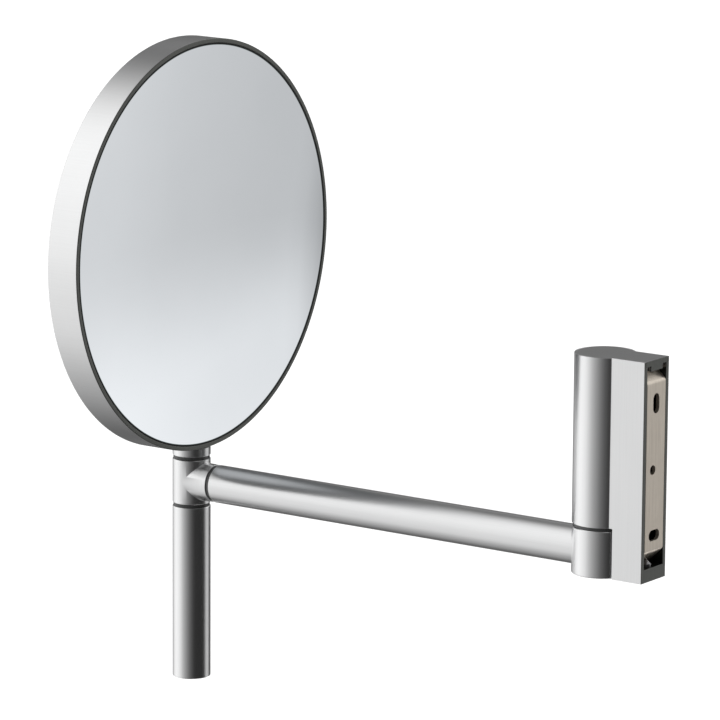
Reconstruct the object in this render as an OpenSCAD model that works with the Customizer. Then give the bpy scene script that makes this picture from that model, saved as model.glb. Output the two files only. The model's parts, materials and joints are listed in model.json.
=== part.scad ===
// Wall-mounted shaving mirror: a bracket on the wall, a swinging arm, a tilting tee
// and a two-sided round head that turns on its stem by a handle.
// Millimetres. The origin is the middle of the wall-screw pattern, on the wall plane.
// +Z is up and +Y points into the wall, so everything reaches out along -Y.

/* [Layout] */
// Distance from the swing axis to the stem axis
arm_reach = 252.2; // [160:0.1:400]
// Distance from the wall to the swing axis
pivot_out = 29.5; // [28:0.1:45]
// Height of the arm axis below the origin
arm_drop = 43.6; // [42:0.1:50]
// Height of the hub and of the tee, along the stem
hub_h = 23.4; // [22:0.1:30]
// Thickness of the dark rings above the hub and around the tee
ring_t = 1.7; // [1:0.1:2.5]
// How far the dark rings are set in from the metal beside them
ring_inset = 0.45; // [0.2:0.05:1]

/* [Bracket housing] */
// Height of the housing
bracket_h = 109.6; // [105:0.1:150]
// Diameter of the barrel and of the hub
barrel_d = 30.4; // [29:0.1:40]
// Width of the flat-sided block against the wall
block_w = 21.9; // [20:0.1:26]
// Gap between the hub and the block behind it
hub_gap = 1.3; // [0.8:0.1:2.2]
// Side walls of the opening at the back
side_wall = 2.5; // [1.8:0.1:3.2]
// Depth of the opening at the back
cavity_d = 10.4; // [9:0.1:11.2]
// Height of the solid foot under the opening
foot_h = 6.6; // [5:0.1:7]
// Bore inside the barrel, above the web
barrel_bore_d = 22; // [21:0.5:24]
// Thickness of the web that the pivot bolt hangs from
web_t = 12.2; // [8:0.1:20]

/* [Top cap] */
// Thickness of the cap
cap_t = 2.6; // [2:0.1:4]
// Rim of the housing left around the cap
cap_rim = 1; // [0.6:0.1:1.6]
// Width of the tongue that hooks over the wall plate
tongue_w = 10.6; // [8:0.1:14]
// Height of the tongue below the cap
tongue_h = 2.64; // [1.5:0.01:4]

/* [Wall plate] */
// Sheet thickness
plate_t = 2; // [1.5:0.1:2.5]
// Outer bend radius
plate_bend_r = 3; // [2.6:0.1:4]
// Side clearance between the plate and the opening
plate_play = 0.2; // [0.1:0.05:0.5]
// Height of the upper bend's start above the origin
plate_up = 42.4; // [40:0.1:43]
// Depth of the lower bend's start below the origin
plate_down = 39.3; // [38:0.1:40.5]
// Depth that the two bent legs reach behind the wall plane
leg_d = 7.6; // [6:0.1:7.8]
// Distance between the two wall screws
screw_pitch = 65.4; // [60:0.1:66]
// Width of the upper, upright slot
up_slot_w = 5.3; // [4:0.1:6]
// Length of the upper slot
up_slot_l = 9.9; // [7:0.1:12]
// Width of the lower, level slot
low_slot_w = 5.4; // [4:0.1:6]
// Length of the lower slot
low_slot_l = 9.4; // [7:0.1:11]
// Diameter of the middle hole
mid_hole_d = 4.7; // [3:0.1:6]
// Sideways offset of the middle hole
mid_hole_x = 2.2; // [0:0.1:4]
// Diameter of the set screw that locks the housing
set_screw_d = 5; // [4:0.5:6]
// Depth of the set screw's axis behind the wall plane
set_screw_in = 4.3; // [4:0.1:5]
// How far the set screw is sunk into the foot
set_screw_sunk = 0.8; // [0:0.1:2]

/* [Swing joint] */
// Shaft diameter of the pivot bolt
bolt_d = 12; // [10:0.5:14.4]
// Head height of the pivot bolt
bolt_head_h = 5; // [4:0.5:8]
// How far the bolt head stands out around the shaft
bolt_head_lip = 3; // [2:0.1:3.2]
// Wall thickness of the plain bushes
bush_wall = 1.4; // [1:0.1:1.5]
// Gap between the two bushes on one shaft
bush_gap = 1; // [0.5:0.1:3]
// Radial running clearance of a shaft in its bush
run_play = 0.05; // [0.02:0.01:0.09]
// Play drawn between a screw and its thread
thread_play = 0.02; // [0.01:0.01:0.05]
// Thickness of the thrust washers
washer_t = 1.2; // [0.8:0.1:2]
// Height of one pair of disc springs, pressed
spring_h = 2.4; // [1.6:0.1:3]
// Sheet thickness of a disc spring
spring_t = 0.7; // [0.5:0.1:0.7]
// Height of the pivot nut
nut_h = 5; // [4:0.5:6]
// How far the pivot nut's corners stand out around the bolt
nut_lip = 3.4; // [3:0.1:3.6]
// Room around the nut in the hub
nut_room = 0.8; // [0.5:0.1:1.5]
// Thickness of the cover under the hub
cover_t = 2; // [1.5:0.1:3]
// Gap between the nut and the cover
cover_gap = 0.8; // [0.4:0.1:1.5]

/* [Arm] */
// Outer diameter of the arm tube
tube_d = 19.5; // [18:0.1:23]
// Wall of the arm tube
tube_wall = 1.5; // [1:0.1:2]
// Length of the hub's spigot inside the tube
spigot_l = 22; // [16:1:40]
// Diameter of the grub screw under the arm
grub_d = 4; // [3:0.5:5]
// Length of the grub screw
grub_l = 5; // [4:0.5:6]
// Gap between the stub of the tee and the tube, where the dark ring sits
tilt_gap = 2.05; // [1.5:0.05:3]
// Length of the stub from the stem axis
stub_l = 15.85; // [14.5:0.05:22]
// Diameter of the tilt axle
axle_d = 10; // [8:0.5:12]
// Length of the plug at the end of the tube
plug_l = 20; // [14:1:30]
// Radial gap between the tilt parts and the inside of the tube
tilt_room = 0.9; // [0.5:0.1:1]
// How far an axle end stands out of its nut
end_proud = 1; // [0.5:0.5:3]

/* [Stem and handle] */
// Diameter of the tee, the neck and the handle
stem_d = 19.7; // [19.5:0.1:24]
// Diameter of the spindle
spindle_d = 10; // [8:0.5:12]
// Diameter of the stud that goes up into the head
stud_d = 6; // [5:0.5:7]
// Diameter of the spindle's threaded lower end
spindle_end_d = 8; // [6:0.5:8.5]
// Neck between the upper ring and the head, at its middle
neck_h = 4.4; // [3.5:0.1:12]
// Length of the handle
handle_l = 90.8; // [70:0.1:160]
// Wall of the handle tube
handle_wall = 1.5; // [1:0.1:2]
// Length of the insert in the top of the handle
insert_l = 28; // [26:1:40]
// Solid web at the top of the insert
insert_web = 12; // [8:0.5:14]
// Wall around the pocket of the insert
pocket_wall = 1.2; // [0.8:0.1:1.3]
// Thickness of the plug in the lower end of the handle
end_plug_t = 3; // [2:0.5:5]
// Height of the plug's skirt
end_skirt_h = 8; // [4:0.5:15]
// Chamfer on the outer edges of the turned parts
edge = 0.3; // [0.1:0.05:0.5]

/* [Head] */
// Outer diameter of the head
mirror_d = 212; // [150:1:260]
// Depth of the head
head_d = 18.2; // [17:0.1:24]
// Wall of the outer ring
frame_wall = 2.2; // [1.6:0.1:3]
// Width of the dark seal around each glass
seal_w = 0.87; // [0.5:0.01:1.5]
// Thickness of the glass
glass_t = 3; // [2:0.1:3.2]
// How far the glass lies below the rim
glass_inset = 0.2; // [0:0.1:0.6]
// How far the seal lies below the glass
seal_inset = 0.3; // [0.1:0.1:1]
// Depth of the hollow of the magnifying glass at its middle
magnifier_sag = 7; // [4:0.1:7.4]
// Thickness of the foam tape behind each glass
tape_t = 0.8; // [0.5:0.1:1]
// Width of the foam tape behind the plain glass
tape_w = 30; // [15:1:45]
// Thickness of the carrier's disc
carrier_t = 2; // [1.5:0.1:2.2]
// Width of the carrier's outer wall
carrier_wall = 4; // [3:0.1:6]
// Gap around the carrier
carrier_play = 0.2; // [0.1:0.1:0.5]
// Width of the socket block inside the head
socket_w = 34; // [24:1:50]
// Thickness of the socket block, along the stem
socket_h = 7.5; // [6:0.1:12]
// Depth of the socket block, along the arm
socket_d = 9.2; // [8.5:0.1:9.3]
// Gap between the socket block and the foam tape behind it
socket_play = 0.03; // [0.01:0.01:0.2]
// How far the stud stops short of the socket block's top
stud_short = 1; // [0:0.1:2]

/* [Hidden] */
$fn = 96;
head_sides = 720; // the same for the head's large rounds
over = 1; // overrun of a cut past the faces it opens

// heights along the swing axis
hub_top = -arm_drop + hub_h / 2;
hub_bottom = -arm_drop - hub_h / 2;
barrel_bottom = hub_top + ring_t;
bracket_top = hub_bottom + bracket_h;
cap_bottom = bracket_top - cap_t;
cavity_bottom = hub_bottom + foot_h;
web_top = barrel_bottom + web_t;

// swing joint
barrel_r = barrel_d / 2;
bolt_r = bolt_d / 2;
bolt_head_r = bolt_r + bolt_head_lip;
hub_bore_r = bolt_r + run_play + bush_wall;
nut_r = bolt_r + nut_lip;
recess_r = nut_r + nut_room;
recess_h = cover_t + cover_gap + nut_h + spring_h + washer_t;
recess_top = hub_bottom + recess_h;
nut_top = recess_top - washer_t - spring_h;
hub_bush_l = (hub_top - recess_top - bush_gap) / 2;

// opening at the back and the plate in it
cavity_w = block_w - 2 * side_wall;
plate_w = cavity_w - 2 * plate_play;
leg_angle = 45;
bend_steps = 12;
bend_run = plate_bend_r * tan(leg_angle / 2);
leg_l = (leg_d - plate_bend_r * (1 - cos(leg_angle))) / sin(leg_angle);
upper_corner = plate_up + bend_run;
lower_corner = plate_down + bend_run;
tongue_bottom = cap_bottom - tongue_h;
set_screw_r = set_screw_d / 2;
set_screw_tip = -lower_corner - set_screw_in - thread_play;

// arm and tilt joint
tube_r = tube_d / 2;
tube_bore_r = tube_r - tube_wall;
stem_y = -pivot_out - arm_reach;
stub_end = stem_y + stub_l;
tube_end = stub_end + tilt_gap;
plug_end = tube_end + plug_l;
axle_r = axle_d / 2;
plug_bore_r = axle_r + run_play + bush_wall;
tilt_part_r = tube_bore_r - tilt_room;
tilt_nut_y = plug_end + washer_t + spring_h;
axle_end = tilt_nut_y + nut_h + end_proud;
spigot_end = -pivot_out - barrel_r - spigot_l;
grub_y = -pivot_out - barrel_r - spigot_l / 2;

// stem, from the top down
stem_r = stem_d / 2;
spindle_r = spindle_d / 2;
stud_r = stud_d / 2;
tee_bore_r = spindle_r + run_play + bush_wall;
axle_start = stem_y + tee_bore_r + end_proud;
tee_bush_l = (hub_h - bush_gap) / 2;
neck_bottom = hub_top + ring_t;
head_bottom = neck_bottom + neck_h;
spindle_top = head_bottom - neck_h / 2;
handle_top = hub_bottom - ring_t;
handle_bottom = handle_top - handle_l;
handle_bore_r = stem_r - handle_wall;
web_bottom = handle_top - insert_web;
pocket_r = handle_bore_r - pocket_wall;
handle_nut_r = pocket_r - nut_room / 2;
spindle_end_r = spindle_end_d / 2;
handle_nut_top = web_bottom - spring_h;
spindle_bottom = handle_nut_top - nut_h - end_proud;

// head, measured along its own axis: 0 is the middle plane, + is the side facing the room,
// with the plain glass, and - is the side facing the wall, with the magnifying glass
mirror_r = mirror_d / 2;
mirror_z = head_bottom + mirror_r;
frame_bore_r = mirror_r - frame_wall;
glass_r = frame_bore_r - seal_w;
glass_face = head_d / 2 - glass_inset;
glass_back = glass_face - glass_t;
hollow_r = (glass_r * glass_r + magnifier_sag * magnifier_sag) / (2 * magnifier_sag);
hollow_centre = -glass_face + magnifier_sag - hollow_r;
carrier_front = glass_back - tape_t;
carrier_r = frame_bore_r - carrier_play;
carrier_bore_r = carrier_r - carrier_wall;
rear_tape_back = hollow_centre
    + sqrt(pow(hollow_r + glass_t, 2) - pow(carrier_bore_r, 2)) + tape_t;
socket_top = mirror_r - frame_wall - socket_h;

// --- shapes that repeat ---

// ring from a to b along Z, with an outer radius, a bore and chamfered outer edges
module ring(a, b, outer, bore = 0, c = 0) {
    translate([0, 0, a])
        rotate_extrude()
            polygon([[bore, 0], [outer - c, 0], [outer, c],
                     [outer, b - a - c], [outer - c, b - a], [bore, b - a]]);
}

// plain round cut from a to b along Z
module hole(a, b, r) {
    translate([0, 0, a]) cylinder(h = b - a, r = r);
}

// pair of disc springs set rim to rim, from a up to a + spring_h
module disc_springs(a, outer, bore) {
    rise = spring_h / 2 - spring_t;
    lift = [0, spring_h];
    for (i = [0, 1])
        translate([0, 0, a + lift[i]])
            mirror([0, 0, i])
                rotate_extrude()
                    polygon([[bore, 0], [bore, spring_t], [outer, spring_t + rise - thread_play],
                             [outer, rise]]);
}

// six-sided nut with its thread bore
module hex_nut(a, r, bore) {
    difference() {
        translate([0, 0, a]) cylinder(h = nut_h, r = r, $fn = 6);
        hole(a - over, a + nut_h + over, bore);
    }
}

// places things made along Z onto the swing axis
module on_pivot() {
    translate([0, -pivot_out, 0]) children();
}

// places things made along Z onto the stem axis
module on_stem() {
    translate([0, stem_y, 0]) children();
}

// turns +Z of its children into +Y, along the arm axis
module on_arm() {
    translate([0, 0, -arm_drop]) rotate([-90, 0, 0]) children();
}

// turns +Z of its children into -Y, about the middle of the head
module on_head() {
    translate([0, stem_y, mirror_z]) rotate([90, 0, 0]) children();
}

// round barrel with a square block to the wall, seen from above
module keyhole(inset = 0, past = 0) {
    translate([0, -pivot_out]) circle(r = barrel_r - inset);
    translate([-block_w / 2 + inset, -pivot_out])
        square([block_w - 2 * inset, pivot_out + past]);
}

// --- bracket on the wall ---

module bracket_housing() {
    color("silver")
        difference() {
            union() {
                translate([0, 0, barrel_bottom])
                    linear_extrude(bracket_top - barrel_bottom) keyhole();
                difference() {
                    translate([-block_w / 2, -pivot_out, hub_bottom])
                        cube([block_w, pivot_out, barrel_bottom - hub_bottom + over]);
                    on_pivot() hole(hub_bottom - over, barrel_bottom, barrel_r + hub_gap);
                }
            }
            translate([0, 0, cap_bottom])
                linear_extrude(cap_t + over) keyhole(cap_rim, over);
            translate([-cavity_w / 2, -cavity_d, cavity_bottom])
                cube([cavity_w, cavity_d + over, bracket_top - cavity_bottom]);
            on_pivot() {
                hole(web_top, bracket_top, barrel_bore_d / 2);
                hole(barrel_bottom - over, web_top + over, bolt_r + run_play);
            }
            translate([0, -set_screw_in, 0])
                hole(hub_bottom - over, cavity_bottom + over, set_screw_r + thread_play);
        }
}

module top_cap() {
    seat = tongue_bottom - upper_corner;
    color("dimgray") {
        translate([0, 0, cap_bottom]) linear_extrude(cap_t) keyhole(cap_rim);
        translate([-tongue_w / 2, 0, 0])
            rotate([90, 0, 90])
                linear_extrude(tongue_w)
                    polygon([[0, cap_bottom], [0, tongue_bottom], [-seat, tongue_bottom],
                             [-seat - tongue_h / 2, tongue_bottom + tongue_h / 2],
                             [-seat - tongue_h / 2, cap_bottom]]);
    }
}

// point on a bend of the plate's section, at step i, on the face of radius r
function bend_point(r, height, side, i) =
    let (a = leg_angle * i / bend_steps)
    [-plate_bend_r + r * cos(a), side * (height + r * sin(a))];

// end of a leg on the same face
function leg_tip(r, height, side) =
    bend_point(r, height, side, bend_steps)
    + leg_l * [-sin(leg_angle), side * cos(leg_angle)];

// one face of the plate's section, from the lower leg's tip to the upper one's
function plate_side(r) = concat(
    [leg_tip(r, plate_down, -1)],
    [for (i = [bend_steps:-1:0]) bend_point(r, plate_down, -1, i)],
    [for (i = [0:bend_steps]) bend_point(r, plate_up, 1, i)],
    [leg_tip(r, plate_up, 1)]
);

function reversed(list) = [for (i = [len(list) - 1:-1:0]) list[i]];

module slot(w, l) {
    for (side = [-1, 1])
        translate([0, side * (l - w) / 2]) circle(d = w);
    square([w, l - w], center = true);
}

module wall_plate() {
    color("tan")
        difference() {
            translate([-plate_w / 2, 0, 0])
                rotate([90, 0, 90])
                    linear_extrude(plate_w)
                        polygon(concat(plate_side(plate_bend_r),
                                       reversed(plate_side(plate_bend_r - plate_t))));
            translate([0, over, 0])
                rotate([90, 0, 0])
                    linear_extrude(plate_t + 2 * over) {
                        translate([0, screw_pitch / 2]) slot(up_slot_w, up_slot_l);
                        translate([0, -screw_pitch / 2]) rotate(90) slot(low_slot_w, low_slot_l);
                        translate([mid_hole_x, 0]) circle(d = mid_hole_d);
                    }
        }
}

module set_screw() {
    low = hub_bottom + set_screw_sunk;
    high = set_screw_tip - set_screw_r;
    color("gray")
        translate([0, -set_screw_in, 0])
            difference() {
                rotate_extrude()
                    polygon([[0, low], [set_screw_r, low], [set_screw_r, high], [0, set_screw_tip]]);
                translate([0, 0, low - over])
                    cylinder(h = set_screw_r + over, r = set_screw_r / 2, $fn = 6);
            }
}

// --- swing joint ---

module pivot_bolt() {
    color("gray")
        on_pivot()
            difference() {
                union() {
                    hole(nut_top - nut_h, web_top, bolt_r);
                    ring(web_top, web_top + bolt_head_h, bolt_head_r, 0, edge);
                }
                translate([0, 0, web_top + bolt_head_h / 3])
                    cylinder(h = bolt_head_h, r = bolt_r * 0.7, $fn = 6);
            }
}

module pivot_ring() {
    color("black")
        on_pivot() ring(hub_top, barrel_bottom, barrel_r - ring_inset, bolt_r + run_play, edge);
}

module pivot_washer() {
    color("ivory")
        on_pivot() ring(recess_top - washer_t, recess_top, nut_r, bolt_r + run_play);
}

module pivot_springs() {
    color("slategray") on_pivot() disc_springs(nut_top, nut_r, bolt_r + run_play);
}

module pivot_nut() {
    color("gray") on_pivot() hex_nut(nut_top - nut_h, nut_r, bolt_r + thread_play);
}

// --- arm ---

module arm_hub() {
    color("silver")
        difference() {
            union() {
                on_pivot() ring(hub_bottom, hub_top, barrel_r, 0, edge);
                on_arm() hole(spigot_end, -pivot_out, tube_bore_r - run_play);
            }
            on_pivot() {
                hole(hub_bottom - over, hub_top + over, hub_bore_r);
                hole(hub_bottom - over, recess_top, recess_r);
            }
            translate([0, grub_y, 0])
                hole(-arm_drop - tube_r, -arm_drop - tube_r + grub_l + over, grub_d / 2 + thread_play);
        }
}

module hub_bush(a) {
    color("darkgoldenrod") on_pivot() ring(a, a + hub_bush_l, hub_bore_r, bolt_r + run_play);
}

module hub_bush_upper() { hub_bush(hub_top - hub_bush_l); }
module hub_bush_lower() { hub_bush(recess_top); }

module hub_cover() {
    color("silver") on_pivot() ring(hub_bottom, hub_bottom + cover_t, recess_r);
}

module arm_tube() {
    color("silver")
        difference() {
            on_arm() hole(tube_end, -pivot_out, tube_r);
            on_arm() hole(tube_end - over, -pivot_out + over, tube_bore_r);
            on_pivot() hole(hub_bottom, hub_top, barrel_r);
            translate([0, grub_y, 0])
                hole(-arm_drop - tube_r - over, -arm_drop, grub_d / 2 + thread_play);
        }
}

module arm_grub_screw() {
    low = -arm_drop - tube_r + tube_wall / 2;
    color("gray")
        translate([0, grub_y, 0])
            difference() {
                hole(low, low + grub_l, grub_d / 2);
                translate([0, 0, low - over])
                    cylinder(h = grub_l / 2 + over, r = grub_d / 4, $fn = 6);
            }
}

module tilt_plug() {
    color("silver")
        on_arm() ring(tube_end, plug_end, tube_bore_r - run_play, plug_bore_r);
}

module tilt_bush() {
    color("darkgoldenrod") on_arm() ring(tube_end, plug_end, plug_bore_r, axle_r + run_play);
}

// --- tee ---

module tee_body() {
    color("silver")
        difference() {
            union() {
                on_stem() ring(hub_bottom, hub_top, stem_r, 0, edge);
                on_arm() hole(stem_y, stub_end, tube_r);
            }
            on_stem() hole(hub_bottom - over, hub_top + over, tee_bore_r);
            on_arm() hole(axle_start, stub_end + over, axle_r + thread_play);
        }
}

module tilt_axle() {
    color("gray") on_arm() hole(axle_start, axle_end, axle_r);
}

module tilt_ring() {
    color("black")
        on_arm() ring(stub_end, tube_end, tube_r - ring_inset, axle_r + run_play, edge);
}

module tilt_washer() {
    color("ivory") on_arm() ring(plug_end, plug_end + washer_t, tilt_part_r, axle_r + run_play);
}

module tilt_springs() {
    color("slategray")
        on_arm() disc_springs(plug_end + washer_t, tilt_part_r, axle_r + run_play);
}

module tilt_nut() {
    color("gray") on_arm() hex_nut(tilt_nut_y, tilt_part_r, axle_r + thread_play);
}

module tee_bush(a) {
    color("darkgoldenrod") on_stem() ring(a, a + tee_bush_l, tee_bore_r, spindle_r + run_play);
}

module tee_bush_upper() { tee_bush(hub_top - tee_bush_l); }
module tee_bush_lower() { tee_bush(hub_bottom); }

// --- stem and handle ---

module spindle() {
    color("gray")
        on_stem() {
            hole(spindle_bottom, web_bottom, spindle_end_r);
            hole(web_bottom, spindle_top, spindle_r);
            hole(spindle_top, mirror_z - socket_top - stud_short, stud_r);
        }
}

module neck() {
    color("silver")
        difference() {
            on_stem() ring(neck_bottom, mirror_z - mirror_r / 2, stem_r, 0, edge);
            on_head() hole(-stem_d, stem_d, mirror_r, $fn = head_sides);
            on_stem() {
                hole(neck_bottom - over, spindle_top, spindle_r + thread_play);
                hole(neck_bottom - over, mirror_z, stud_r + run_play);
            }
        }
}

module turn_ring(a) {
    color("black")
        on_stem() ring(a, a + ring_t, stem_r - ring_inset, spindle_r + run_play, edge);
}

module turn_ring_upper() { turn_ring(hub_top); }
module turn_ring_lower() { turn_ring(handle_top); }

module handle_insert() {
    color("silver")
        on_stem()
            difference() {
                ring(handle_top - insert_l, handle_top, handle_bore_r);
                hole(handle_top - insert_l - over, web_bottom, pocket_r);
                hole(web_bottom - over, handle_top + over, spindle_r + run_play);
            }
}

module handle_tube() {
    color("silver")
        on_stem() ring(handle_bottom, handle_top, stem_r, handle_bore_r, edge);
}

module handle_springs() {
    color("slategray")
        on_stem() disc_springs(handle_nut_top, handle_nut_r, spindle_end_r + run_play);
}

module handle_nut() {
    color("gray")
        on_stem() hex_nut(handle_nut_top - nut_h, handle_nut_r, spindle_end_r + thread_play);
}

module handle_end_plug() {
    color("silver")
        on_stem()
            difference() {
                ring(handle_bottom, handle_bottom + end_plug_t + end_skirt_h, handle_bore_r);
                hole(handle_bottom + end_plug_t, handle_top, handle_bore_r - pocket_wall);
            }
}

// --- head ---

module mirror_frame() {
    color("silver")
        difference() {
            on_head() ring(-head_d / 2, head_d / 2, mirror_r, frame_bore_r, edge, $fn = head_sides);
            on_stem() hole(head_bottom - over, mirror_z, stud_r + run_play);
        }
}

// the socket block's outline, with room around it; its back lies against the rear tape
module socket_space(room = 0) {
    back = stem_y - rear_tape_back - socket_play;
    translate([-socket_w / 2 - room, back - socket_d - room, head_bottom])
        cube([socket_w + 2 * room, socket_d + 2 * room, mirror_r - socket_top + room]);
}

module mirror_carrier() {
    color("black")
        difference() {
            on_head() hole(rear_tape_back, carrier_front, carrier_r);
            on_head() hole(rear_tape_back - over, carrier_front - carrier_t, carrier_bore_r);
            socket_space(carrier_play);
        }
}

module stem_socket() {
    color("gray")
        difference() {
            intersection() {
                socket_space();
                on_head() hole(-head_d, head_d, frame_bore_r, $fn = head_sides);
            }
            on_stem() hole(head_bottom - over, mirror_z, stud_r + thread_play);
        }
}

module plain_glass() {
    color("lightsteelblue") on_head() ring(glass_back, glass_face, glass_r, 0, edge);
}

// section of a shell between two concentric spheres, out to a radius
module dish(inner, outer, reach) {
    intersection() {
        translate([0, hollow_centre])
            difference() {
                circle(r = outer, $fn = 1440);
                circle(r = inner, $fn = 1440);
            }
        translate([0, -head_d]) square([reach, 2 * head_d]);
    }
}

module magnifying_glass() {
    color("lightsteelblue")
        on_head() rotate_extrude() dish(hollow_r, hollow_r + glass_t, glass_r);
}

module glass_seal(side) {
    color("black")
        on_head()
            mirror([0, 0, side])
                ring(glass_back, glass_face - seal_inset, frame_bore_r, glass_r);
}

module glass_seal_front() { glass_seal(0); }
module glass_seal_rear() { glass_seal(1); }

module foam_tape_front() {
    color("white")
        on_head() ring(carrier_front, glass_back, carrier_bore_r, carrier_bore_r - tape_w);
}

module foam_tape_rear() {
    color("white")
        on_head()
            ring(rear_tape_back - tape_t, rear_tape_back,
                 carrier_bore_r + carrier_wall / 2, carrier_bore_r);
}

bracket_housing();
top_cap();
wall_plate();
set_screw();
pivot_bolt();
pivot_ring();
pivot_washer();
pivot_springs();
pivot_nut();
arm_hub();
hub_bush_upper();
hub_bush_lower();
hub_cover();
arm_tube();
arm_grub_screw();
tilt_plug();
tilt_bush();
tee_body();
tilt_axle();
tilt_ring();
tilt_washer();
tilt_springs();
tilt_nut();
tee_bush_upper();
tee_bush_lower();
spindle();
neck();
turn_ring_upper();
turn_ring_lower();
handle_insert();
handle_tube();
handle_springs();
handle_nut();
handle_end_plug();
mirror_frame();
mirror_carrier();
stem_socket();
plain_glass();
magnifying_glass();
glass_seal_front();
glass_seal_rear();
foam_tape_front();
foam_tape_rear();
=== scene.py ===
import json
import math

import bmesh
import bpy
import numpy as np
from mathutils import Matrix, Vector

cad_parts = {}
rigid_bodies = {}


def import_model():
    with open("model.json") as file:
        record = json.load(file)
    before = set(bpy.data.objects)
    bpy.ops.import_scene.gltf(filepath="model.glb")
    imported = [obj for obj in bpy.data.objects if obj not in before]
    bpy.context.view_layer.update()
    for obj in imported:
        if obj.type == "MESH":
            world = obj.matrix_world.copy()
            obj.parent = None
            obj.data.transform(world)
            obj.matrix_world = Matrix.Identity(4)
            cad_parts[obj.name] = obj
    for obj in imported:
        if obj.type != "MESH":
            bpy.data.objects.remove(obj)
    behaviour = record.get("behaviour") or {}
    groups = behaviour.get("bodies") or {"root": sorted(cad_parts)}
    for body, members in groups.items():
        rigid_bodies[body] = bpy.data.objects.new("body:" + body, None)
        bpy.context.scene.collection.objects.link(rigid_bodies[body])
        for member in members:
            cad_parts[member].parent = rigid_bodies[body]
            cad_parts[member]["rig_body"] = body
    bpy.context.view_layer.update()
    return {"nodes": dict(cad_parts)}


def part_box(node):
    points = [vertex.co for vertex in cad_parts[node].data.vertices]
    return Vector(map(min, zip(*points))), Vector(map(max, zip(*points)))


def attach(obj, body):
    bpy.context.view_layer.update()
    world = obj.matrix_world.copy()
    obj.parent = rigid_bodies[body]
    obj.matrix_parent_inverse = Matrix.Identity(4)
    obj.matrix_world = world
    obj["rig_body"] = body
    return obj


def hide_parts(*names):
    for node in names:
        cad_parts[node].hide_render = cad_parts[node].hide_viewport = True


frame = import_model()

nodes = frame["nodes"]
mm = 0.001
print("frame loaded:", len(nodes), "CAD nodes")


cameraSet = {
    "place": (2.06357, 1.28786, 0.54751),
    "look": (-0.79930, -0.56683, -0.19954),
    "rollDegrees": 0.386,
    "lens": 257.11,
    "clipEnd": 60,
}


def placeCamera():
    look = Vector(cameraSet["look"]).normalized()
    level = look.cross(Vector((0, 0, 1))).normalized()
    upright = level.cross(look)
    roll = math.radians(cameraSet["rollDegrees"])
    right = level * math.cos(roll) + upright * math.sin(roll)
    up = upright * math.cos(roll) - level * math.sin(roll)
    data = bpy.data.cameras.new("studioCamera")
    data.lens = cameraSet["lens"]
    data.clip_end = cameraSet["clipEnd"]
    camera = bpy.data.objects.new("studioCamera", data)
    turn = Matrix((right, up, -look)).transposed().to_4x4()
    camera.matrix_world = Matrix.Translation(cameraSet["place"]) @ turn
    bpy.context.scene.collection.objects.link(camera)
    bpy.context.scene.camera = camera


placeCamera()


class Wire:
    # one output socket; the operators add Math nodes to its sheet
    def __init__(self, sheet, socket):
        self.sheet, self.socket = sheet, socket

    def maths(self, operation, *terms):
        return self.sheet.node("ShaderNodeMath", {"operation": operation},
                               dict(enumerate(terms)))

    def __add__(self, other):
        return self.maths("ADD", self, other)

    __radd__ = __add__

    def __sub__(self, other):
        return self.maths("SUBTRACT", self, other)

    def __mul__(self, other):
        return self.maths("MULTIPLY", self, other)

    def __truediv__(self, other):
        return self.maths("DIVIDE", self, other)

    # 0 below low, 1 above high, eased between
    def between(self, low, high):
        return self.sheet.node("ShaderNodeMapRange",
                               {"interpolation_type": "SMOOTHSTEP", "clamp": True},
                               {"Value": self, "From Min": low, "From Max": high})


class NodeSheet:
    def __init__(self, tree):
        self.tree = tree
        tree.nodes.clear()

    # settings are set first, because some of them change the sockets
    def node(self, kind, settings=None, inputs=None, output=0):
        made = self.tree.nodes.new(kind)
        for name, value in (settings or {}).items():
            if name == "stops":
                self.setStops(made.color_ramp, value)
            elif name == "easing":
                made.color_ramp.interpolation = value
            else:
                setattr(made, name, value)
        for name, value in (inputs or {}).items():
            socket = made.inputs[name]
            if isinstance(value, Wire):
                self.tree.links.new(value.socket, socket)
            else:
                socket.default_value = value
        return Wire(self, made.outputs[output]) if made.outputs else made

    def setStops(self, ramp, stops):
        while len(ramp.elements) < len(stops):
            ramp.elements.new(0.5)
        for element, (place, value) in zip(ramp.elements, stops):
            element.position = place
            element.color = (value, value, value, 1)

    def mixColour(self, factor, first, second):
        return self.node("ShaderNodeMix", {"data_type": "RGBA"},
                         {0: factor, 6: first, 7: second}, 2)

    def stretched(self, vector, factors):
        return self.node("ShaderNodeVectorMath", {"operation": "MULTIPLY"},
                         {0: vector, 1: factors})

    def noise(self, vector, scale, detail=2.0):
        return self.node("ShaderNodeTexNoise", None,
                         {"Vector": vector, "Scale": scale, "Detail": detail})


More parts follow.
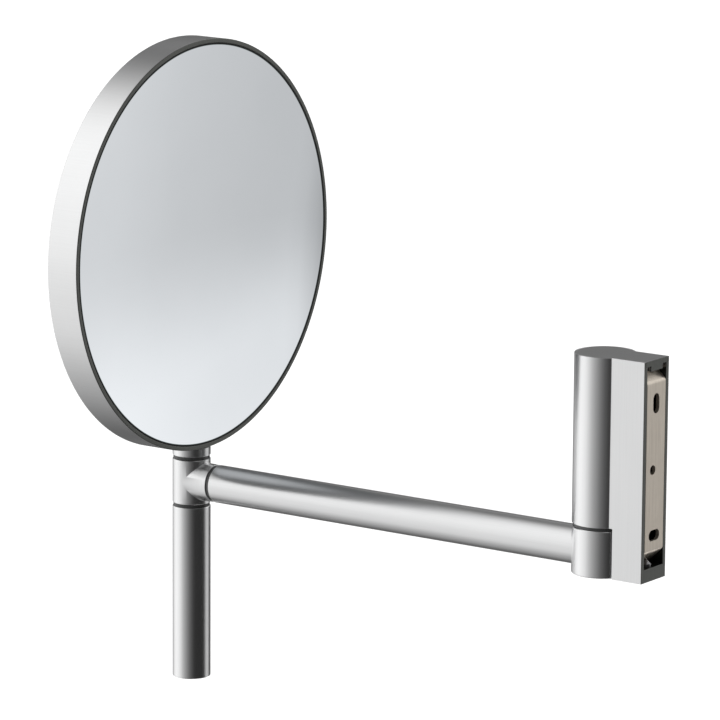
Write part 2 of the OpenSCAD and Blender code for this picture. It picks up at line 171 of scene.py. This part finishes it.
# the light is a soft surround: strength by bearing (0 = +X, 90 = +Y) times strength by height
studioLight = {
    "ambient": 0.016,
    "key": 1.17,
    "keyBearing": [(-180, 0.03), (-152, 0.045), (-138, 0.074), (-130, 0.12), (-116, 0.31),
                   (-96, 0.72), (-86, 0.88), (-66, 1.0), (-36, 0.795), (-20, 0.51), (-5, 0.33),
                   (8, 0.23), (20, 0.13), (33, 0.07), (52, 0.012), (180, 0.0)],
    "keyHeight": [(-90, 0.28), (-56, 0.33), (-48, 0.52), (-36, 0.82), (-11, 1.0), (-1, 1.12),
                  (12, 1.15), (25, 1.15), (37, 1.10), (47, 1.01), (54, 0.93), (62, 0.64),
                  (75, 0.25), (90, 0.15)],
    "screenBearing": [(-180, 0.0), (123, 0.0), (132, 0.92), (158, 1.10), (164, 0.0)],
    "screenHeight": [(-26, 0.0), (-21, 0.58), (-11, 0.58), (-5, 0.84), (-1, 0.88), (10, 1.15),
                     (22, 1.0), (34, 0.0)],
    "backBearing": [(-180, 1.0), (-165, 1.0), (-148, 0.2), (-130, 0.0), (144, 0.0), (156, 1.0),
                    (180, 1.0)],
    "backHeight": [(-90, 0.3), (-50, 0.5), (-38, 1.2), (-28, 1.2), (-23, 0.04), (12, 0.03),
                   (24, 0.95), (36, 1.0), (60, 0.3), (90, 0.2)],
    "fillBearing": [(-180, 0.0), (20, 0.0), (45, 0.4), (80, 0.8), (140, 0.8), (165, 0.0)],
    "fillHeight": [(-90, 0.7), (-62, 0.7), (-40, 0.0), (8, 0.0), (26, 0.09), (48, 0.13),
                   (62, 0.7), (90, 0.5)],
    "backdrop": 1.0,
}
floorSet = {"height": -1.45, "halfWidth": 40.0, "tone": 0.9, "roughness": 0.9, "glow": 0.75}


def lightStudio():
    world = bpy.data.worlds.new("studio")
    bpy.context.scene.world = world
    world.use_nodes = True
    sheet = NodeSheet(world.node_tree)
    direction = sheet.node("ShaderNodeTexCoord")
    east, north, up = (sheet.node("ShaderNodeSeparateXYZ", None, {0: direction}, i)
                       for i in range(3))
    bearing = north.maths("ARCTAN2", north, east) / (2 * math.pi) + 0.5
    height = up.maths("ARCSINE", up) / math.pi + 0.5

    # each stop is halved here and doubled again after the ramp, so that it stays below 1
    def ramp(name, turn, where, easing):
        stops = [(degrees / turn + 0.5, value / 2) for degrees, value in studioLight[name]]
        return sheet.node("ShaderNodeValToRGB", {"stops": stops, "easing": easing}, {0: where}) * 2

    def lobe(name, easing="EASE"):
        return (ramp(name + "Bearing", 360, bearing, easing)
                * ramp(name + "Height", 180, height, easing))

    light = (lobe("key", "LINEAR") * studioLight["key"] + lobe("screen") + lobe("back")
             + lobe("fill") + studioLight["ambient"])
    surround = sheet.node("ShaderNodeBackground", None,
                          {"Color": (1, 1, 1, 1), "Strength": light})
    backdrop = sheet.node("ShaderNodeBackground", None,
                          {"Color": (1, 1, 1, 1), "Strength": studioLight["backdrop"]})
    seen = sheet.node("ShaderNodeLightPath")
    mixed = sheet.node("ShaderNodeMixShader", None, {0: seen, 1: surround, 2: backdrop})
    sheet.node("ShaderNodeOutputWorld", None, {"Surface": mixed})
    bpy.context.scene.view_settings.view_transform = "Standard"
    bpy.context.scene.view_settings.look = "None"


def layFloor():
    mesh = bpy.data.meshes.new("studioFloor")
    half, level = floorSet["halfWidth"], floorSet["height"]
    mesh.from_pydata([(-half, -half, level), (half, -half, level),
                      (half, half, level), (-half, half, level)], [], [(0, 1, 2, 3)])
    floor = bpy.data.objects.new("studioFloor", mesh)
    bpy.context.scene.collection.objects.link(floor)
    floor.visible_glossy = False
    floor.visible_diffuse = False
    material = bpy.data.materials.new("paleFloor")
    material.use_nodes = True
    sheet = NodeSheet(material.node_tree)
    tone = floorSet["tone"]
    shader = sheet.node("ShaderNodeBsdfPrincipled", None, {
        "Base Color": (tone, tone, tone, 1), "Roughness": floorSet["roughness"],
        "Emission Color": (1, 1, 1, 1), "Emission Strength": floorSet["glow"]})
    sheet.node("ShaderNodeOutputMaterial", None, {"Surface": shader})
    mesh.materials.append(material)


lightStudio()
layFloor()
print("camera, light and floor ready")


def newFinish(name, build):
    material = bpy.data.materials.new(name)
    material.use_nodes = True
    sheet = NodeSheet(material.node_tree)
    place = sheet.node("ShaderNodeTexCoord", None, None, "Object")
    shader = sheet.node("ShaderNodeBsdfPrincipled", None, build(sheet, place))
    sheet.node("ShaderNodeOutputMaterial", None, {"Surface": shader})
    return material


def rgb(values):
    return (*values, 1.0)


def bump(sheet, height, strength, distance):
    return sheet.node("ShaderNodeBump", None,
                      {"Strength": strength, "Distance": distance, "Height": height})


satinSet = {
    "light": (0.855, 0.858, 0.86),
    "dark": (0.82, 0.823, 0.826),
    # painted shade: the next two colours darken faces that face along Y, the third darkens the
    # hollow behind the wall plate
    "endShadeLight": (0.165, 0.17, 0.16),
    "endShadeDark": (0.125, 0.13, 0.122),
    "hollowShadeTone": (0.055, 0.058, 0.054),
    "roughness": 0.29,
    "roughnessSwing": 0.035,
    "grainScale": 2600.0,
    "grainDepth": 0.012 * mm,
    "streakScale": 1500.0,
    "streakStretch": 0.012,
    "cloudScale": 26.0,
    "bumpStrength": 0.35,
    # the next four set how rough and how sharply faded the painted-shade faces and hollow are
    "endRougher": 0.10,
    "endShadeFade": (0.35 * mm, 0.15 * mm),
    "hollowRougher": 0.2,
    "hollowShadeFade": 0.1 * mm,
}


# satin anodised aluminium: fine blasted grain, faint drawing lines along one axis,
# and soft clouds in the sheen; the first optional argument gives the low and high Y planes whose
# faces get painted shade, a dark colour in place of their dim reflection (no low one where it is
# None), and the second gives the low and high corners of a hollow painted dark as shade, and
# rougher
def satinAluminium(name, along, paintedShadeSpan=None, shadedHollow=None):
    def build(sheet, place):
        look = satinSet
        factors = [1.0, 1.0, 1.0]
        factors["xyz".index(along)] = look["streakStretch"]
        lines = sheet.noise(sheet.stretched(place, factors), look["streakScale"], 3.0)
        clouds = sheet.noise(place, look["cloudScale"], 3.0)
        grain = sheet.noise(place, look["grainScale"], 1.0)
        mixed = (lines * 0.55 + clouds * 0.45).between(0.30, 0.70)
        colour = sheet.mixColour(mixed, rgb(look["dark"]), rgb(look["light"]))
        wear = lines * 0.6 + clouds * 0.4 - 0.5
        roughness = look["roughness"] + wear * look["roughnessSwing"] * 2
        # painted shade: faces on the low and high Y planes turn dark and rougher, in place of the
        # dim reflection they catch
        if paintedShadeSpan:
            north = sheet.node("ShaderNodeSeparateXYZ", None, {0: place}, 1)
            low, high = paintedShadeSpan
            deep, shallow = look["endShadeFade"]
            endShade = north.between(high - deep, high - shallow)
            if low is not None:
                endShade = endShade + north.between(low + deep, low + shallow)
            endShadeColour = sheet.mixColour(mixed, rgb(look["endShadeDark"]), rgb(look["endShadeLight"]))
            colour = sheet.mixColour(endShade, colour, endShadeColour)
            roughness = roughness + endShade * look["endRougher"]
        # painted shade: faces inside the hollow turn near black and rougher, in place of the shade
        # in the recess
        if shadedHollow:
            hollow = 1.0
            for axis, (near, far) in enumerate(zip(*shadedHollow)):
                part = sheet.node("ShaderNodeSeparateXYZ", None, {0: place}, axis)
                hollow = (part.between(near - look["hollowShadeFade"], near)
                          * part.between(far + look["hollowShadeFade"], far) * hollow)
            colour = sheet.mixColour(hollow, colour, rgb(look["hollowShadeTone"]))
            roughness = roughness + hollow * look["hollowRougher"]
        height = grain * 0.7 + lines * 0.3
        return {"Base Color": colour, "Metallic": 1.0, "Roughness": roughness,
                "Normal": bump(sheet, height, look["bumpStrength"], look["grainDepth"])}
    return newFinish(name, build)


plateSet = {
    "light": (0.93, 0.845, 0.735),
    "dark": (0.76, 0.68, 0.58),
    "roughness": 0.36,
    "lineScale": 1800.0,
    "lineStretch": 0.02,
    "lineDepth": 0.02 * mm,
    "mottleScale": 90.0,
    "mottleSwing": 0.16,
    "metallic": 0.72,
}


# warm rolled stainless sheet: rolling lines along Z, mottled sheen
def stainlessSheet():
    def build(sheet, place):
        look = plateSet
        lines = sheet.noise(sheet.stretched(place, (1, 1, look["lineStretch"])),
                            look["lineScale"], 4.0)
        mottle = sheet.noise(place, look["mottleScale"], 3.0)
        mixed = (lines * 0.6 + mottle * 0.4).between(0.3, 0.7)
        return {"Base Color": sheet.mixColour(mixed, rgb(look["dark"]), rgb(look["light"])),
                "Metallic": look["metallic"],
                "Roughness": look["roughness"] + (mottle - 0.5) * look["mottleSwing"],
                "Normal": bump(sheet, lines, 0.3, look["lineDepth"])}
    return newFinish("stainlessSheet", build)


workedSet = {"lineScale": 880.0, "lineStretch": 6.0, "lineDepth": 0.012 * mm,
             "filmScale": 240.0, "filmSwing": 0.24}


# turned or drawn metal for screws, shafts, springs and bushes: fine lines and a patchy oil film
def workedMetal(name, light, dark, roughness):
    def build(sheet, place):
        look = workedSet
        lines = sheet.noise(sheet.stretched(place, (1, 1, look["lineStretch"])),
                            look["lineScale"], 3.0)
        patches = sheet.noise(place, look["filmScale"], 3.0)
        mixed = (lines * 0.5 + patches * 0.5).between(0.3, 0.7)
        return {"Base Color": sheet.mixColour(mixed, rgb(dark), rgb(light)),
                "Metallic": 1.0,
                "Roughness": roughness + (patches - 0.5) * look["filmSwing"],
                "Normal": bump(sheet, lines, 0.4, look["lineDepth"])}
    return newFinish(name, build)


mouldedSet = {"flowScale": 70.0, "flowStretch": 3.0, "flowSwing": 0.2}


# moulded plastic or rubber: pebbled skin, faint flow marks, dust in the low spots
def mouldedSkin(name, light, dark, roughness, pebble=1400.0, depth=0.02 * mm):
    def build(sheet, place):
        look = mouldedSet
        skin = sheet.noise(place, pebble, 2.0)
        flow = sheet.noise(sheet.stretched(place, (1, 1, look["flowStretch"])),
                           look["flowScale"], 3.0)
        dust = (skin * 0.4 + flow * 0.6).between(0.42, 0.66)
        return {"Base Color": sheet.mixColour(dust, rgb(dark), rgb(light)),
                "Roughness": roughness + (flow - 0.5) * look["flowSwing"],
                "Normal": bump(sheet, skin, 0.5, depth)}
    return newFinish(name, build)


glassSet = {
    "silver": (0.92, 0.952, 0.985),
    "film": (0.90, 0.933, 0.966),
    "edge": (0.20, 0.30, 0.28),
    "edgeFade": (0.35 * mm, 0.05 * mm),
    "edgeRougher": 0.25,
    "filmScale": 18.0,
    "filmRougher": 0.02,
    "speckScale": 420.0,
    "speckRougher": 0.01,
    "roughness": 0.012,
    # painted shade: the front glass's silver is darkened by this factor to dim its reflection
    "plainShade": 0.90,
}


# silvered glass: clean reflection with a barely visible film, darker greenish ground edge; a tone
# below 1 darkens the whole silver as painted shade, dimming its reflection
def silveredGlass(name, centre, radius, tone=1.0):
    def toned(colour):
        return rgb([part * tone for part in colour])

    def build(sheet, place):
        look = glassSet
        local = sheet.node("ShaderNodeVectorMath", {"operation": "SUBTRACT"},
                           {0: place, 1: (centre[0], centre[1], centre[2])})
        flat = sheet.stretched(local, (1, 0, 1))
        reach = sheet.node("ShaderNodeVectorMath", {"operation": "LENGTH"}, {0: flat}, 1)
        inner, outer = look["edgeFade"]
        rim = reach.between(radius - inner, radius - outer)
        film = sheet.noise(place, look["filmScale"], 4.0).between(0.35, 0.75)
        speck = sheet.noise(place, look["speckScale"], 2.0).between(0.60, 0.80)
        face = sheet.mixColour(film, toned(look["silver"]), toned(look["film"]))
        return {"Base Color": sheet.mixColour(rim, face, rgb(look["edge"])),
                "Metallic": 1.0,
                "Roughness": (look["roughness"] + film * look["filmRougher"]
                              + speck * look["speckRougher"] + rim * look["edgeRougher"])}
    return newFinish(name, build)


foamSet = {"light": (0.85, 0.85, 0.83), "dark": (0.62, 0.61, 0.58),
           "cellScale": 1600.0, "soilScale": 120.0, "cellDepth": 0.05 * mm}


# white closed-cell foam
def foamFinish():
    def build(sheet, place):
        look = foamSet
        cells = sheet.node("ShaderNodeTexVoronoi", None,
                           {"Vector": place, "Scale": look["cellScale"]})
        soil = sheet.noise(place, look["soilScale"], 3.0)
        return {"Base Color": sheet.mixColour(soil, rgb(look["dark"]), rgb(look["light"])),
                "Roughness": 0.75 + cells * 0.2,
                "Normal": bump(sheet, cells, 0.6, look["cellDepth"])}
    return newFinish("foamCells", build)


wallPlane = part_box("bracket_housing")[1].y
plateLow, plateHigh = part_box("wall_plate")
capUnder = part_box("top_cap")[0].z
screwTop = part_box("set_screw")[1].z
headLow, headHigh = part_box("mirror_frame")
headCentre = (headLow + headHigh) / 2
glassLow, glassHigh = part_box("plain_glass")
glassRadius = (glassHigh.x - glassLow.x) / 2

# the open space behind the wall plate, as its low and high corners; the housing's faces in it get
# painted shade
cavitySet = {"play": 0.3 * mm, "depth": 10.5 * mm, "rim": 0.25 * mm, "below": 5.0 * mm,
             "above": 0.1 * mm}
cavity = ((plateLow.x - cavitySet["play"], -cavitySet["depth"], screwTop - cavitySet["below"]),
          (plateHigh.x + cavitySet["play"], -cavitySet["rim"], capUnder + cavitySet["above"]))

finishes = {
    # the housing, drum and cap finishes are the satin aluminium with painted shade on their faces
    # along Y, the housing's also in the hollow behind the wall plate
    "satinUpright": satinAluminium("satinUpright", "z"),
    "satinHousingShaded": satinAluminium("satinHousingShaded", "z", (None, wallPlane), cavity),
    "satinArm": satinAluminium("satinArm", "y"),
    "satinDrumShaded": satinAluminium("satinDrumShaded", "y", (headLow.y, headHigh.y)),
    "satinCapShaded": satinAluminium("satinCapShaded", "y", (None, wallPlane)),
    "stainlessSheet": stainlessSheet(),
    "fastenerSteel": workedMetal("fastenerSteel", (0.60, 0.60, 0.61), (0.42, 0.42, 0.43), 0.32),
    "springSteel": workedMetal("springSteel", (0.40, 0.42, 0.47), (0.24, 0.25, 0.29), 0.30),
    "bushBronze": workedMetal("bushBronze", (0.72, 0.50, 0.26), (0.50, 0.33, 0.16), 0.38),
    "ringPlastic": mouldedSkin("ringPlastic", (0.125, 0.127, 0.127), (0.090, 0.091, 0.091), 0.30),
    "washerPlastic": mouldedSkin("washerPlastic", (0.80, 0.77, 0.68), (0.68, 0.65, 0.56), 0.5),
    "carrierPlastic": mouldedSkin("carrierPlastic", (0.050, 0.050, 0.052), (0.024, 0.024, 0.026),
                                  0.55, pebble=900.0, depth=0.05 * mm),
    "sealRubber": mouldedSkin("sealRubber", (0.020, 0.020, 0.020), (0.008, 0.008, 0.008),
                              0.62, pebble=1700.0, depth=0.03 * mm),
    "foamCells": foamFinish(),
    "silveredGlass": silveredGlass("silveredGlass", headCentre, glassRadius),
    # the front glass is the same silvered glass, darkened as painted shade
    "plainSilverShaded": silveredGlass("plainSilverShaded", headCentre, glassRadius, glassSet["plainShade"]),
}
print("finishes ready:", len(finishes))


axes = {  # two directions across each axis and the axis itself, right-handed
    "up": np.array([[1, 0, 0], [0, 1, 0], [0, 0, 1]], float),
    "room": np.array([[1, 0, 0], [0, 0, 1], [0, -1, 0]], float),
    "wall": np.array([[0, 0, 1], [1, 0, 0], [0, 1, 0]], float),
}


shapeSet = {"sideShare": 0.48, "samePoint": 1e-8, "onAxis": 1e-9, "cornerTurn": 38.0}


# each corner B of a closed outline becomes (1-t)^2 A + 2t(1-t) B + t^2 C, with A and C
# one radius before and after it, but never past the middle of a side; a corner of radius 0
# stays as it is
def softened(corners, radii, steps=4):
    b = np.array(corners, float)
    r = np.broadcast_to(np.array(radii, float), len(b))[:, None]
    back, ahead = np.roll(b, 1, 0) - b, np.roll(b, -1, 0) - b
    backLength = np.linalg.norm(back, axis=1)[:, None]
    aheadLength = np.linalg.norm(ahead, axis=1)[:, None]
    share = shapeSet["sideShare"]
    a = b + back / backLength * np.minimum(r, share * backLength)
    c = b + ahead / aheadLength * np.minimum(r, share * aheadLength)
    t = np.linspace(0, 1, steps + 1)[None, :, None]
    curve = (1 - t) ** 2 * a[:, None] + 2 * t * (1 - t) * b[:, None] + t ** 2 * c[:, None]
    points = curve.reshape(-1, 2)
    fresh = np.linalg.norm(points - np.roll(points, 1, 0), axis=1) > shapeSet["samePoint"]
    return points[fresh]


# edges that turn more than cornerTurn degrees stay sharp
def newObject(name, vertices, faces):
    mesh = bpy.data.meshes.new(name)
    mesh.from_pydata(vertices.tolist(), [], faces)
    mesh.update()
    mesh.shade_smooth()
    mesh.set_sharp_from_angle(angle=math.radians(shapeSet["cornerTurn"]))
    made = bpy.data.objects.new(name, mesh)
    bpy.context.scene.collection.objects.link(made)
    return made


def evenShading(made):
    weighting = made.modifiers.new("evenShading", "WEIGHTED_NORMAL")
    weighting.mode = "FACE_AREA"
    weighting.weight = 100
    weighting.keep_sharp = True


# an outline of (radius, height) points turned about an axis:
# point(i, j) = centre + r_i cos(a_j) u + r_i sin(a_j) v + h_i w.
# a solid starts and ends on the axis, where each end closes in one point
def turned(name, outline, centre, axis, steps, solid=False):
    u, v, w = axes[axis]
    if solid:
        before = np.roll(outline, 1, 0)
        onAxis = np.maximum(outline[:, 0], before[:, 0]) < shapeSet["onAxis"]
        start = int(np.argmax(np.linalg.norm(outline - before, axis=1) * onAxis))
        outline = np.roll(outline, -start, 0)
    rows = outline[1:-1] if solid else outline
    angle = np.linspace(0, 2 * np.pi, steps, endpoint=False)
    r, h = rows[:, 0][:, None, None], rows[:, 1][:, None, None]
    cos, sin = np.cos(angle)[None, :, None], np.sin(angle)[None, :, None]
    grid = np.array(centre, float) + r * cos * u + r * sin * v + h * w
    vertices = grid.reshape(-1, 3)
    place = np.arange(len(rows) * steps).reshape(len(rows), steps)
    ahead = np.roll(place, -1, 0)
    if solid:
        place, ahead = place[:-1], ahead[:-1]
    quads = np.stack([place, np.roll(place, -1, 1), np.roll(ahead, -1, 1), ahead], -1)
    faces = quads.reshape(-1, 4).tolist()
    if solid:
        poles = np.array(centre, float) + outline[[0, -1], 1][:, None] * w
        first = np.arange(steps)
        last = first + (len(rows) - 1) * steps
        low = np.stack([np.full(steps, len(vertices)), np.roll(first, -1), first], -1)
        high = np.stack([last, np.roll(last, -1), np.full(steps, len(vertices) + 1)], -1)
        faces += low.tolist() + high.tolist()
        vertices = np.vstack([vertices, poles])
    made = newObject(name, vertices, faces)
    evenShading(made)
    return made


copySet = {"weld": 0.002 * mm, "flatTurn": 0.4, "edgeTurn": 30.0, "segments": 3}


# the CAD solid's own surface, merged, with its flat faces made whole and its edges rounded
def finishedCopy(name, node, width):
    source = nodes[node].data
    vertices = np.zeros(len(source.vertices) * 3, np.float32)
    source.vertices.foreach_get("co", vertices)
    corners = np.zeros(len(source.loops), np.int32)
    source.loops.foreach_get("vertex_index", corners)
    made = newObject(name, vertices.reshape(-1, 3), corners.reshape(-1, 3).tolist())
    shape = bmesh.new()
    shape.from_mesh(made.data)
    bmesh.ops.remove_doubles(shape, verts=shape.verts, dist=copySet["weld"])
    bmesh.ops.dissolve_limit(shape, angle_limit=math.radians(copySet["flatTurn"]),
                             verts=shape.verts, edges=shape.edges)
    shape.to_mesh(made.data)
    shape.free()
    made.data.shade_smooth()
    edgeTurn = math.radians(copySet["edgeTurn"])
    made.data.set_sharp_from_angle(angle=edgeTurn)
    rounding = made.modifiers.new("edgeRounding", "BEVEL")
    rounding.limit_method = "ANGLE"
    rounding.angle_limit = edgeTurn
    rounding.width = width
    rounding.segments = copySet["segments"]
    rounding.harden_normals = True
    rounding.miter_outer = "MITER_ARC"
    return made


shownPieces = []


def settle(made, node, finish):
    made.data.materials.clear()
    made.data.materials.append(finishes[finish])
    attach(made, nodes[node]["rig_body"])
    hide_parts(node)
    shownPieces.append(node)


def boxOf(node):
    low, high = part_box(node)
    low, high = np.array(low), np.array(high)
    return low, high, (low + high) / 2, high - low


housingSet = {"edge": 0.22 * mm}
settle(finishedCopy("bracketHousing", "bracket_housing", housingSet["edge"]),
       "bracket_housing", "satinHousingShaded")
capSet = {"edge": 0.15 * mm}
settle(finishedCopy("topCap", "top_cap", capSet["edge"]),
       "top_cap", "satinCapShaded")
wallPlateSet = {"edge": 0.25 * mm}
settle(finishedCopy("wallPlate", "wall_plate", wallPlateSet["edge"]),
       "wall_plate", "stainlessSheet")
print("bracket ready")


ringSet = {"round": 0.4 * mm, "boreRound": 0.1 * mm, "steps": 192,
           "pivotBore": 6.05 * mm, "stemBore": 5.05 * mm}


# a ring between two turning pieces, its outer edges well rounded
def makeRing(name, node, axis, bore):
    centre, size = boxOf(node)[2:]
    outer, half = size[0] / 2, size[{"up": 2, "wall": 1}[axis]] / 2
    outline = softened([(bore, -half), (outer, -half), (outer, half), (bore, half)],
                       [ringSet["boreRound"], ringSet["round"],
                        ringSet["round"], ringSet["boreRound"]], steps=6)
    settle(turned(name, outline, centre, axis, ringSet["steps"]),
           node, "ringPlastic")


makeRing("pivotRing", "pivot_ring", "up", ringSet["pivotBore"])
makeRing("tiltRing", "tilt_ring", "wall", ringSet["stemBore"])
makeRing("turnRingUpper", "turn_ring_upper", "up", ringSet["stemBore"])
makeRing("turnRingLower", "turn_ring_lower", "up", ringSet["stemBore"])
print("rings ready")


armSet = {"edge": 0.22 * mm}
for name, node, finish in [("armHub", "arm_hub", "satinUpright"),
                           ("armTube", "arm_tube", "satinArm"),
                           ("teeBody", "tee_body", "satinUpright")]:
    settle(finishedCopy(name, node, armSet["edge"]), node, finish)
print("arm ready")


handleSet = {"edge": 0.35 * mm, "boreEdge": 0.1 * mm, "wall": 1.5 * mm, "steps": 192,
             "plugEdge": 0.2 * mm}
settle(finishedCopy("neck", "neck", handleSet["plugEdge"]),
       "neck", "satinUpright")

low, high, centre, size = boxOf("handle_tube")
outer, bore = size[0] / 2, size[0] / 2 - handleSet["wall"]
outline = softened([(bore, low[2]), (outer, low[2]), (outer, high[2]), (bore, high[2])],
                   [handleSet["boreEdge"], handleSet["edge"],
                    handleSet["edge"], handleSet["boreEdge"]])
settle(turned("handleTube", outline, (centre[0], centre[1], 0), "up", handleSet["steps"]),
       "handle_tube", "satinUpright")
settle(finishedCopy("handleEndPlug", "handle_end_plug", handleSet["plugEdge"]),
       "handle_end_plug", "satinUpright")
print("handle ready")


headSet = {"edge": 0.4 * mm, "boreEdge": 0.25 * mm, "steps": 512, "glassEdge": 0.3 * mm,
           "glassRows": 48, "beadProud": 0.12 * mm, "beadLap": 0.12 * mm, "beadRound": 0.3 * mm}
centre, size = boxOf("mirror_frame")[2:]
headRadius, headHalf = size[0] / 2, size[1] / 2
boreOfFrame = boxOf("glass_seal_rear")[3][0] / 2
outline = softened([(boreOfFrame, -headHalf), (headRadius, -headHalf),
                    (headRadius, headHalf), (boreOfFrame, headHalf)],
                   [headSet["boreEdge"], headSet["edge"], headSet["edge"], headSet["boreEdge"]])
settle(turned("mirrorFrame", outline, centre, "room", headSet["steps"]),
       "mirror_frame", "satinDrumShaded")


# a seal fills the groove between frame and glass, with a rounded bead just over the glass edge
def makeSeal(name, node, glassNode, outward):
    centre, size = boxOf(node)[2:]
    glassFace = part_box(glassNode)[1 if outward > 0 else 0].y
    back, top = centre[1] - outward * size[1] / 2, glassFace + outward * headSet["beadProud"]
    middle, half = (back + top) / 2, abs(top - back) / 2
    lip = glassRadius - headSet["beadLap"]
    outline = softened([(lip, -half), (boreOfFrame, -half), (boreOfFrame, half), (lip, half)],
                       headSet["beadRound"], steps=6)
    settle(turned(name, outline, (centre[0], middle, centre[2]), "room", headSet["steps"]),
           node, "sealRubber")


makeSeal("sealFront", "glass_seal_front", "plain_glass", -1)
makeSeal("sealRear", "glass_seal_rear", "magnifying_glass", 1)

centre, size = boxOf("plain_glass")[2:]
outline = softened([(0, -size[1] / 2), (glassRadius, -size[1] / 2), (glassRadius, size[1] / 2),
                    (0, size[1] / 2)], [0, headSet["glassEdge"], headSet["glassEdge"], 0])
settle(turned("plainGlass", outline, centre, "room", headSet["steps"], True),
       "plain_glass", "plainSilverShaded")

# the magnifying glass lies between two spheres about one centre on the head's axis:
# height(r) = sphereCentre + sqrt(R^2 - r^2), the inner one facing the wall
low, high = boxOf("magnifying_glass")[:2]
glassThickness = boxOf("plain_glass")[3][1]
sag = high[1] - low[1] - glassThickness
hollowRadius = (glassRadius ** 2 + sag ** 2) / (2 * sag)
face = headCentre.y - high[1]
sphereCentre = face + sag - hollowRadius
reach = np.linspace(0, glassRadius, headSet["glassRows"])
hollow = np.stack([reach, sphereCentre + np.sqrt(hollowRadius ** 2 - reach ** 2)], -1)
inward, outerRadius = reach[::-1], hollowRadius + glassThickness
domed = np.stack([inward, sphereCentre + np.sqrt(outerRadius ** 2 - inward ** 2)], -1)
outline = np.vstack([hollow, domed])
settle(turned("magnifyingGlass", outline, headCentre, "room", headSet["steps"], True),
       "magnifying_glass", "silveredGlass")
print("head ready")


innerFinishes = {
    "fastenerSteel": ["set_screw", "pivot_bolt", "pivot_nut", "arm_grub_screw", "tilt_axle",
                      "tilt_nut", "spindle", "handle_nut", "stem_socket"],
    "springSteel": ["pivot_springs", "tilt_springs", "handle_springs"],
    "bushBronze": ["hub_bush_upper", "hub_bush_lower", "tilt_bush", "tee_bush_upper",
                   "tee_bush_lower"],
    "washerPlastic": ["pivot_washer", "tilt_washer"],
    "carrierPlastic": ["mirror_carrier"],
    "foamCells": ["foam_tape_front", "foam_tape_rear"],
    "satinUpright": ["tilt_plug", "handle_insert", "hub_cover"],
}
for finish, kept in innerFinishes.items():
    for node in kept:
        nodes[node].data.materials.clear()
        nodes[node].data.materials.append(finishes[finish])
unfinished = set(nodes) - set(shownPieces) - set(sum(innerFinishes.values(), []))
if unfinished:
    raise ValueError(f"no finish for {sorted(unfinished)}")
print("inner parts ready")
